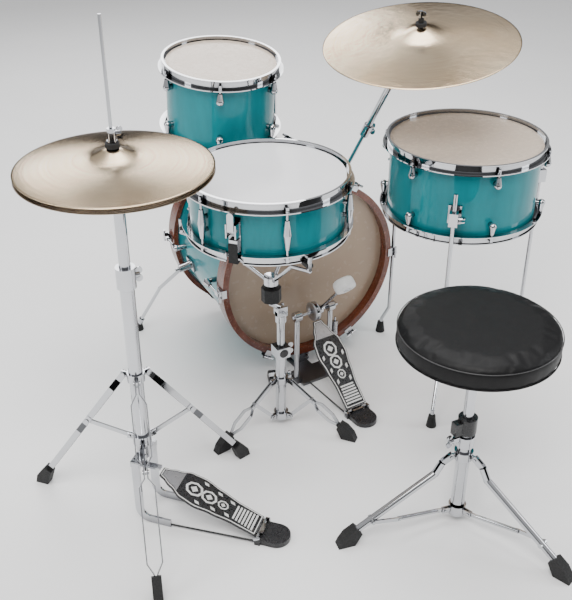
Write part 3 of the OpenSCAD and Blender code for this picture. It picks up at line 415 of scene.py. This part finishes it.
drum("bass", BASS, 228.6, "bass_clear", "hoop_wood")
drum("snare", SNARE, 165, "coated")
drum("rack_tom", RACK, 127, "clear")
drum("floor_tom", TOM, 177.8, "clear")
for name in ("bass_hardware", "rack_tom_hardware", "floor_tom_hardware", "drum_arms",
             "throne_hub", "throne_post", "snare_stand_post", "snare_stand_collar",
             "hihat_collar", "throw_off_lever"):
    paint(name, "chrome")
paint("seat_plate", "steel")
for side, name in ((-1, "spur_left"), (1, "spur_right")):
    paint(name, "chrome", place(side * 0.353, 0.354),
          ("rubber", lambda c, n: c.z < 24.5 and reach(c) < 14))
paint("floor_tom_legs", "chrome", None, ("rubber", lambda c, n: c.z < 32.3))
paint("cymbal_tilter", "chrome", CRASH,
      ("felt", lambda c, n: 17 < c.z < 24.3 and reach(c) > 4.5),
      ("felt", lambda c, n: 30 < c.z < 38.6 and reach(c) > 4.5),
      ("rubber", lambda c, n: 38.5 < c.z < 50.1))
paint("snare_hardware", "chrome", SNARE @ Matrix.Rotation(math.radians(221), 4, "Z"),
      ("rubber", lambda c, n: abs(c.y) < 10.6 and c.z < -81.5
       and (178.5 < c.x < 181.5 or -176.5 < c.x < -173.5 or c.z < -122)),
      ("satin", lambda c, n: c.z < -119 and abs(c.x) < 162))
paint("snare_stand_base", "chrome", STAND,
      ("black", lambda c, n: 199 < c.z < 228 and max(abs(c.x), abs(c.y)) < 17.2 and n.z > 0.5))
paint("snare_basket", "chrome", STAND,
      ("rubber", lambda c, n: 358.5 < c.z < 393.5 and 8 < math.hypot(c.x + 24, c.y) < 24),
      ("rubber", lambda c, n: 545 < c.z < 553.8 and reach(c) > 120))
for k in range(3):
    for group, prefix, start, far, top in ((STAND, "snare", 70.5, 147.5, 43.6),
                                           (THRONE, "throne", 50.4, 223.5, 44.6),
                                           (HAT, "hihat", 13.6, 236.5, 49.6)):
        at = group @ Matrix.Rotation(math.radians(start + 120 * k), 4, "Z")
        paint(f"{prefix}_leg_{k + 1}", "chrome", at,
              ("rubber", lambda c, n, far=far, top=top: c.x > far and c.z < top))
        paint(f"{prefix}_brace_{k + 1}", "chrome")
paint("throne_collar", "chrome", THRONE, ("black", lambda c, n: c.z > 237.5 and reach(c) > 13))
paint("hihat_base", "chrome", HAT_PEDAL,
      ("black", lambda c, n: c.y < -266 and c.z < 12.6),
      ("black", lambda c, n: c.y < -80 and c.z < 9 and abs(c.x) < 45))
paint("hihat_tube", "chrome", HAT, ("felt", lambda c, n: c.z > 758.8 and reach(c) > 4))
HAT_TOP = 0.798 + 0.009 + 0.034
paint("pull_rod", "chrome", HAT,
      ("felt", lambda c, n: 832 < c.z < 837.1 and reach(c) > 3.4),
      ("felt", lambda c, n: 843 < c.z < 852.1 and reach(c) > 3.4))
paint("pedal_frame", "chrome", PEDAL,
      ("steel", lambda c, n: c.z < 12.2 and c.y > -150),
      ("black", lambda c, n: c.y < -200 and c.z < 12.6),
      ("satin", lambda c, n: 52 < c.z < 148 and abs(c.x - 68) < 7 and abs(c.y) < 7))

# ---------------------------------------------------------------- shape helpers, in millimetres


def finish_piece(ob, at, body, mat, slot, *nodes):
    """Puts a piece in place, gives it its material, hangs it on the body it rides on and hides the nodes
    it stands for; the finish name in slot is not used.
    """
    ob.matrix_world = at
    if mat:
        ob.data.materials.append(M[mat])
    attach(ob, body)
    if nodes:
        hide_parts(*nodes)
    return ob


def lathe(name, profile, segs=96, closed=True):
    """A turned solid about Z from (radius, height) points in millimetres."""
    verts, faces, n = [], [], len(profile)
    for i in range(segs):
        a = 2 * math.pi * i / segs
        verts += [(r * math.cos(a) / 1000, r * math.sin(a) / 1000, z / 1000) for r, z in profile]
    for i in range(segs):
        j = (i + 1) % segs
        for k in range(n if closed else n - 1):
            m = (k + 1) % n
            faces.append((i * n + k, j * n + k, j * n + m, i * n + m))
    ob = new_mesh(name, verts, faces)
    bm = bmesh.new()
    bm.from_mesh(ob.data)
    bmesh.ops.remove_doubles(bm, verts=bm.verts, dist=1e-7)
    bmesh.ops.recalc_face_normals(bm, faces=bm.faces)
    bm.to_mesh(ob.data)
    bm.free()
    return ob


def tube(name, points, radius, cyclic=False, res=6, smooth=True):
    """A round wire or cord along points in millimetres."""
    cu = bpy.data.curves.new(name, "CURVE")
    cu.dimensions, cu.bevel_depth, cu.bevel_resolution, cu.use_fill_caps = "3D", radius / 1000, 3, True
    cu.resolution_u = res
    sp = cu.splines.new("NURBS" if smooth else "POLY")
    sp.points.add(len(points) - 1)
    for p, q in zip(sp.points, points):
        p.co = (q[0] / 1000, q[1] / 1000, q[2] / 1000, 1)
    sp.use_cyclic_u = cyclic
    if smooth:
        sp.order_u, sp.use_endpoint_u = 3, not cyclic
    return link(bpy.data.objects.new(name, cu))


def slab(name, outline, low, high, bevel=0.0, segs=2):
    """A flat plate with a given outline between two heights, its edges rounded by a modifier."""
    n = len(outline)
    verts = [(x / 1000, y / 1000, z / 1000) for z in (low, high) for x, y in outline]
    faces = [tuple(reversed(range(n))), tuple(range(n, 2 * n))]
    faces += [(i, (i + 1) % n, n + (i + 1) % n, n + i) for i in range(n)]
    ob = new_mesh(name, verts, faces, smooth=False)
    if bevel:
        b = ob.modifiers.new("edge", "BEVEL")
        b.width, b.segments, b.limit_method = bevel / 1000, segs, "ANGLE"
        b.angle_limit, b.harden_normals = math.radians(40), False
        ob.data.polygons.foreach_set("use_smooth", [True] * len(ob.data.polygons))
        ob.data.set_sharp_from_angle(angle=math.radians(50))
    return ob


def merge(name, obs):
    """Joins mesh objects into one piece."""
    bm = bmesh.new()
    for ob in obs:
        me = ob.data.copy()
        me.transform(ob.matrix_world)
        bm.from_mesh(me)
        bpy.data.meshes.remove(me)
        bpy.data.objects.remove(ob)
    me = bpy.data.meshes.new(name)
    bm.to_mesh(me)
    bm.free()
    me.polygons.foreach_set("use_smooth", [True] * len(me.polygons))
    me.set_sharp_from_angle(angle=math.radians(38))
    return link(bpy.data.objects.new(name, me))


# ---------------------------------------------------------------- cymbals


def cymbal(name, r, drop, bell_h, bell_r, t, mat, at, body, node):
    """A lathed cymbal about a middle hole: a smooth cup and bow, thinner towards the edge."""
    hole, steps, low = 6.0, 63, []
    for i in range(steps + 1):
        f = i / steps
        x = hole + (r - hole) * f ** 1.25
        cup = 1 - math.exp(-(x / (bell_r * 0.62)) ** 2.3)
        low.append((x, -bell_h * cup - drop * (x / r) ** 1.7))
    thick = [(x, z + t * (1 - 0.45 * ((x - hole) / (r - hole)) ** 3)) for x, z in low]
    ob = lathe(name, low + thick[::-1], 192)
    return finish_piece(ob, at, body, mat, "bronze", node)


cymbal("crash_visual", 227.8, 18, 18, 66, 1.4, "crash", CRASH @ Matrix.Translation((0, 0, 0.0248)),
       "crash_cymbal", "crash_cymbal")
cymbal("hat_top_visual", 177.8, 18, 16, 55, 1.3, "hat", HAT @ Matrix.Translation((0, 0, HAT_TOP)),
       "pull_rod", "hihat_top")
# The bottom hi-hat takes the darker bronze, painted shade for where it sits under the top cymbal.
flip = Matrix.Translation((0, 0, 0.764)) @ Matrix.Rotation(math.pi, 4, "X")
cymbal("hat_bottom_visual", 177.8, 18, 16, 55, 1.3, "hat_bottom_shaded", HAT @ flip, "hihat_tube",
       "hihat_bottom")

# ---------------------------------------------------------------- seat cushion (soft goods)


def cushion():
    """Foam under vinyl: a round blank, swollen by a cloth simulation and kept inside the seat's size."""
    r, top, low, segs = 157.0, 503.5, 447.5, 120
    prof = [(0, low), (60, low), (110, low), (r - 10, low), (r - 3, low + 3), (r, low + 10),
            (r + 0.5, low + 24), (r, top - 17), (r - 3, top - 8), (r - 12, top - 2), (r - 30, top),
            (100, top), (50, top), (0, top)]
    ob = lathe("seat_cushion_visual", prof, segs, closed=False)
    base_z, frames, swell = low / 1000, 20, 0.009
    widest, highest = 0.1628, 0.5068
    m = ob.modifiers.new("remesh", "REMESH")
    m.mode, m.voxel_size = "VOXEL", 0.0055
    bpy.context.view_layer.objects.active = ob
    ob.select_set(True)
    bpy.ops.object.modifier_apply(modifier="remesh")
    me = ob.data
    start = [v.co.copy() for v in me.vertices]
    hold = ob.vertex_groups.new(name="hold")
    rim = [v.index for v in me.vertices if v.co.z < base_z + 0.004]
    hold.add(rim, 1.0, "REPLACE")
    c = ob.modifiers.new("cloth", "CLOTH")
    s = c.settings
    s.quality, s.mass, s.use_pressure, s.uniform_pressure_force = 6, 0.25, True, 2.4
    s.tension_stiffness = s.compression_stiffness = 22
    s.shear_stiffness, s.bending_stiffness = 12, 3
    s.vertex_group_mass = "hold"
    s.effector_weights.gravity = 0
    c.collision_settings.use_collision = False
    c.point_cache.frame_start, c.point_cache.frame_end = 1, frames
    for f in range(1, frames + 1):
        scene.frame_set(f)
    dg = bpy.context.evaluated_depsgraph_get()
    ev = ob.evaluated_get(dg)
    moved = [v.co.copy() for v in ev.data.vertices]
    ob.modifiers.remove(c)
    scene.frame_set(1)
    for v, a, b in zip(me.vertices, start, moved):
        d = b - a
        if d.length > swell:
            d = d * (swell / d.length)
        p = a + d
        # Creases that the stretched vinyl keeps: soft dimples round the middle and pulls at the side.
        ang, rad = math.atan2(p.y, p.x), math.hypot(p.x, p.y)
        if p.z > 0.485 and rad < 0.148:
            p.z += 0.0007 * noise.noise(Vector((p.x * 14, p.y * 14, 1.3)))
        if rad > 0.15 and p.z < 0.494:
            pull = 0.5 + 0.5 * math.sin(ang * 34 + 2.5 * noise.noise(Vector((ang * 3, 0, 4.1))))
            depth = 0.0011 * pull * max(0, 1 - abs(p.z - (base_z + 0.008)) / 0.02)
            p.x -= depth * math.cos(ang)
            p.y -= depth * math.sin(ang)
        p.z = min(p.z, highest)
        if math.hypot(p.x, p.y) > widest:
            k = widest / math.hypot(p.x, p.y)
            p.x, p.y = p.x * k, p.y * k
        v.co = p
    me.update()
    me.polygons.foreach_set("use_smooth", [True] * len(me.polygons))
    sub = ob.modifiers.new("sub", "SUBSURF")
    sub.levels = sub.render_levels = 1
    smooth = ob.modifiers.new("soften", "SMOOTH")
    smooth.factor, smooth.iterations = 0.5, 4
    finish_piece(ob, THRONE, "seat", "vinyl", "vinyl", "seat_cushion")


v = Nodes("seat_vinyl")
v.set(Specular_IOR_Level=0.22)
cell = v.add("TexVoronoi", Scale=620.0, feature="F1")
v.join(v.coords(), cell.inputs["Vector"])
v.ramp(cell.outputs["Distance"], [(0.0, (0.0075, 0.0075, 0.008)), (0.8, (0.004, 0.004, 0.0045))],
       "Base Color")
v.ramp(v.noise(26, detail=5), [(0.3, 0.42), (0.7, 0.56)], "Roughness")
crease = v.bump(v.noise(30, detail=5, rough=0.6), 0.05, 0.003)
v.bump(cell.outputs["Distance"], 0.35, 0.0004, crease)
M["vinyl"] = v.mat
M["piping"] = plastic("piping", (0.045, 0.045, 0.047), 0.3, 0.45, 300, 0.1)

cushion()


def ring(name, r, z, wire, mat, at, body, slot, points=72):
    pts = [(r * math.cos(2 * math.pi * i / points), r * math.sin(2 * math.pi * i / points), z)
           for i in range(points)]
    return finish_piece(tube(name, pts, wire, cyclic=True, res=3), at, body, mat, slot)


ring("seat_piping_top", 157.2, 490.0, 1.0, "piping", THRONE, "seat", "vinyl")
ring("seat_piping_low", 157.0, 455.5, 1.5, "vinyl", THRONE, "seat", "vinyl")

# ---------------------------------------------------------------- footboards

OUTLINE = [(30, 5.5), (31, 60), (37, 112), (43, 150), (40, 182), (26, 212), (15, 236), (12, 244)]


def half_width(y):
    """Half the footboard's width at a distance from its hinge, along a smooth curve."""
    pts = OUTLINE
    if y <= pts[0][1]:
        return pts[0][0]
    for (x0, y0), (x1, y1) in zip(pts, pts[1:]):
        if y <= y1:
            t = (y - y0) / (y1 - y0)
            return x0 + (x1 - x0) * (t * t * (3 - 2 * t))
    return pts[-1][0]


def board_outline(inset=0.0, y0=5.5, y1=244.0, steps=40):
    ys = [y0 + inset + (y1 - y0 - 2 * inset) * i / steps for i in range(steps + 1)]
    right = [(half_width(y) - inset, y) for y in ys]
    return right + [(-x, y) for x, y in reversed(right)]


def strip(outline, inner, low, high, name):
    """A flat band between two outlines with the same number of points."""
    n = len(outline)
    verts = [(x / 1000, y / 1000, z / 1000) for z in (low, high) for o in (outline, inner) for x, y in o]
    faces = []
    for i in range(n):
        j = (i + 1) % n
        faces += [(2 * n + i, 2 * n + j, 3 * n + j, 3 * n + i), (i, n + i, n + j, j),
                  (i, j, 2 * n + j, 2 * n + i), (n + i, 3 * n + i, 3 * n + j, n + j)]
    return new_mesh(name, verts, faces, smooth=False)


def footboard(tag, at, body, node):
    """A cast footboard: rounded rim, white border, generic diamond pattern, slatted grip and toe plate."""
    base = slab(tag + "_board", board_outline(), 2.3, 7.3, 1.2, 3)
    finish_piece(base, at, body, "black", "pedal_black", node)
    rim = strip(board_outline(2.2), board_outline(4.4), 7.0, 7.75, tag + "_border")
    finish_piece(rim, at, body, "white", "pedal_black")
    slats = []
    for i in range(7):
        y = 16 + i * 7.5
        w = half_width(y) - 7.5 - 0.72 * i
        slats.append(slab("slat", [(-w, y), (w, y), (w, y + 4.2), (-w, y + 4.2)], 7.0, 7.9, 0.0))
    finish_piece(merge(tag + "_grip", slats), at, body, "white", "pedal_black")
    marks = []
    for y, s in ((94, 13), (128, 19), (164, 21)):
        ring_out = [(s * math.cos(a) * 0.9, y + s * math.sin(a)) for a in
                    [math.pi / 4 * k for k in range(8)]]
        ring_in = [(x * 0.74, y + (yy - y) * 0.74) for x, yy in ring_out]
        marks.append(strip(ring_out, ring_in, 7.0, 7.8, "mark"))
        d = s * 0.42
        marks.append(slab("mark", [(d, y), (0, y + d), (-d, y), (0, y - d)], 7.0, 7.8))
    for y in (78, 110, 146):
        for sgn in (-1, 1):
            x = sgn * (half_width(y) - 14)
            marks.append(slab("mark", [(x - 3, y - 7), (x + 3, y - 3), (x + 3, y + 7), (x - 3, y + 3)],
                              7.0, 7.8))
    finish_piece(merge(tag + "_pattern", marks), at, body, "white", "pedal_black")
    toe = [(half_width(y) - 6.5, y) for y in range(196, 239, 6)]
    toe = toe + [(-x, y) for x, y in reversed(toe)]
    toe_plate = slab("toe", toe, 6.8, 7.95)
    screws = [lathe("screw", [(0, 7.4), (3.2, 7.4), (3.2, 7.6), (2.2, 7.98), (0, 7.98)], 24, False)
              for _ in range(2)]
    for s, x in zip(screws, (-7, 7)):
        s.matrix_world = Matrix.Translation((x / 1000, 0.226, 0))
    finish_piece(merge(tag + "_toe_plate", [toe_plate] + screws), at, body, "satin", "steel")
    knuckles = []
    for sgn in (-1, 1):
        k = lathe("knuckle", [(3.2, -6), (4.9, -6), (5.5, -5.4), (5.5, 5.4), (4.9, 6), (3.2, 6)], 32)
        k.matrix_world = (Matrix.Translation((sgn * 0.022, 0, 0))
                          @ Matrix.Rotation(math.pi / 2, 4, "Y"))
        knuckles.append(k)
    finish_piece(merge(tag + "_knuckles", knuckles), at, body, "chrome", "chrome")
    ribs = [slab("rib", [(x - 1.2, 14), (x + 1.2, 14), (x + 1.2, 190), (x - 1.2, 190)], 2.05, 2.6)
            for x in (-16, 0, 16)]
    finish_piece(merge(tag + "_ribs", ribs), at, body, "black", "pedal_black")


footboard("hihat_footboard", HAT_PEDAL @ Matrix.Translation((0, -0.262, 0.014))
          @ Matrix.Rotation(math.radians(22.6), 4, "X"), "hihat_footboard", "hihat_footboard")
footboard("pedal_footboard", PEDAL @ Matrix.Translation((0, -0.196, 0.014))
          @ Matrix.Rotation(math.radians(41), 4, "X"), "pedal_footboard", "pedal_footboard")

# ---------------------------------------------------------------- beater, cam and axle

AXLE = PEDAL @ Matrix.Translation((0, 0, 0.200))
SWING = AXLE @ Matrix.Rotation(math.radians(41), 4, "X") @ Matrix.Translation((0.017, 0, 0))
TO_X = Matrix.Rotation(math.pi / 2, 4, "Y")
HEAD = Matrix.Translation((0, 0, 0.160)) @ Matrix.Rotation(-math.pi / 2, 4, "X")


def turned(name, prof, at, body, mat, slot, *nodes, segs=64, closed=False):
    return finish_piece(lathe(name, prof, segs, closed), at, body, mat, slot, *nodes)


turned("pedal_axle", [(0, -65), (4.4, -65), (5, -64.2), (5, 65.4), (4.4, 66), (0, 66)], AXLE @ TO_X,
       "pedal_beater", "chrome", "chrome", "pedal_beater")
turned("pedal_cam", [(5, -7), (24, -7), (25, -6.2), (25, -4.4), (22.6, -4), (22.6, 4), (25, 4.4),
       (25, 6.2), (24, 7), (5, 7), (5, -7)], AXLE @ TO_X, "pedal_beater", "satin", "steel", closed=True)
turned("beater_hub", [(5, -7), (11, -7), (12, -6), (12, 6), (11, 7), (5, 7), (5, -7)],
       AXLE @ Matrix.Translation((0.017, 0, 0)) @ TO_X, "pedal_beater", "chrome", "chrome", closed=True)
turned("beater_shaft", [(0, 6), (4, 6), (4, 140), (3.6, 141), (0, 141)], SWING, "pedal_beater",
       "chrome", "chrome", segs=32)
turned("beater_head", [(3.5, -13.2), (20, -13.2), (24.5, -11.5), (26.6, -7), (26.9, 0), (26.6, 9),
       (24.6, 14.6), (20, 17), (11, 17.8), (6, 17.9), (3.5, 17.9)], SWING
       @ HEAD, "pedal_beater", "white", "coated_film", closed=True)
turned("beater_nut", [(0, -13.9), (5, -13.9), (8.5, -13.2), (8.5, -12.6), (0, -12.6)], SWING
       @ HEAD, "pedal_beater", "chrome", "chrome", segs=40)
turned("beater_core", [(3.3, -12.5), (9, -12.5), (9, 17), (3.3, 17)], SWING
       @ HEAD, "pedal_beater", "satin", "steel", closed=True, segs=40)
links = []
for i in range(16):
    a = math.radians(-62 + i * 11.8)
    piece = slab("link", [(-3.4, -2.1), (3.4, -2.1), (3.4, 2.1), (-3.4, 2.1)], 22.7, 24.6)
    piece.matrix_world = Matrix.Rotation(a, 4, "X")
    links.append(piece)
finish_piece(merge("pedal_chain", links), AXLE, "pedal_beater", "chrome", "chrome")
finish_piece(merge("spring_arm", [slab("arm", [(62, -4), (72, -4), (72, 18), (62, 18)], -2.8, 2.8)]),
             AXLE, "pedal_beater", "chrome", "chrome")

# ---------------------------------------------------------------- springs, bolts and small trim


def coil(name, r, z0, z1, turns, wire, at, body, mat, slot):
    pts = []
    n = int(turns * 14)
    for i in range(n + 1):
        a = 2 * math.pi * turns * i / n
        pts.append((r * math.cos(a), r * math.sin(a), z0 + (z1 - z0) * i / n))
    return finish_piece(tube(name, pts, wire, res=2), at, body, mat, slot)


coil("return_spring", 6.6, 53, 147, 26, 1.15, PEDAL @ Matrix.Translation((0.068, 0, 0)), "root",
     "chrome", "chrome")


def bolts(name, at, r, depth, angles, zs, body):
    """Screw heads and washers inside a shell, one behind each lug."""
    obs = []
    for a in angles:
        for z in zs:
            b = lathe("bolt", [(0, -4.6), (3.2, -4.6), (4.6, -3.2), (4.6, -1.2), (7.5, -1.2), (7.5, -0.2),
                               (0, -0.2)], 20, False)
            b.matrix_world = (Matrix.Rotation(math.radians(a), 4, "Z")
                              @ Matrix.Translation(((r - depth) / 1000, 0, z / 1000)) @ TO_X)
            obs.append(b)
    finish_piece(merge(name, obs), at, body, "chrome", "chrome")


six = [60 * k for k in range(6)]
bolts("rack_tom_bolts", RACK, 127, 6, [5 + a for a in six], (-38, -130), "rack_tom")
bolts("floor_tom_bolts", TOM, 177.8, 6, [15 + a for a in six] + [104, 228, 346], (-38, -138), "root")
bolts("bass_bolts", BASS, 228.6, 7, six + [90], (-61, -265), "root")


def dome(name, r, h, at, body, mat, slot):
    prof = [(0, 0), (r, 0), (r, h * 0.4), (r * 0.86, h * 0.78), (r * 0.5, h * 0.96), (0, h)]
    return turned(name, prof, at, body, mat, slot, segs=48)


dome("stand_emblem", 11, 1.6, STAND @ Matrix.Translation((0, -0.0170, 0.213))
     @ Matrix.Rotation(math.pi / 2, 4, "X"), "root", "black", "pedal_black")
for s in (-1, 1):
    dome(f"post_cap_{'ab'[s > 0]}", 12.4, 1.0, PEDAL @ Matrix.Translation((s * 0.060, 0, 0.2))
         @ Matrix.Rotation(s * math.pi / 2, 4, "Y"), "root", "chrome", "chrome")

# ---------------------------------------------------------------- end

for ob in list(scene.objects):
    ob.select_set(False)
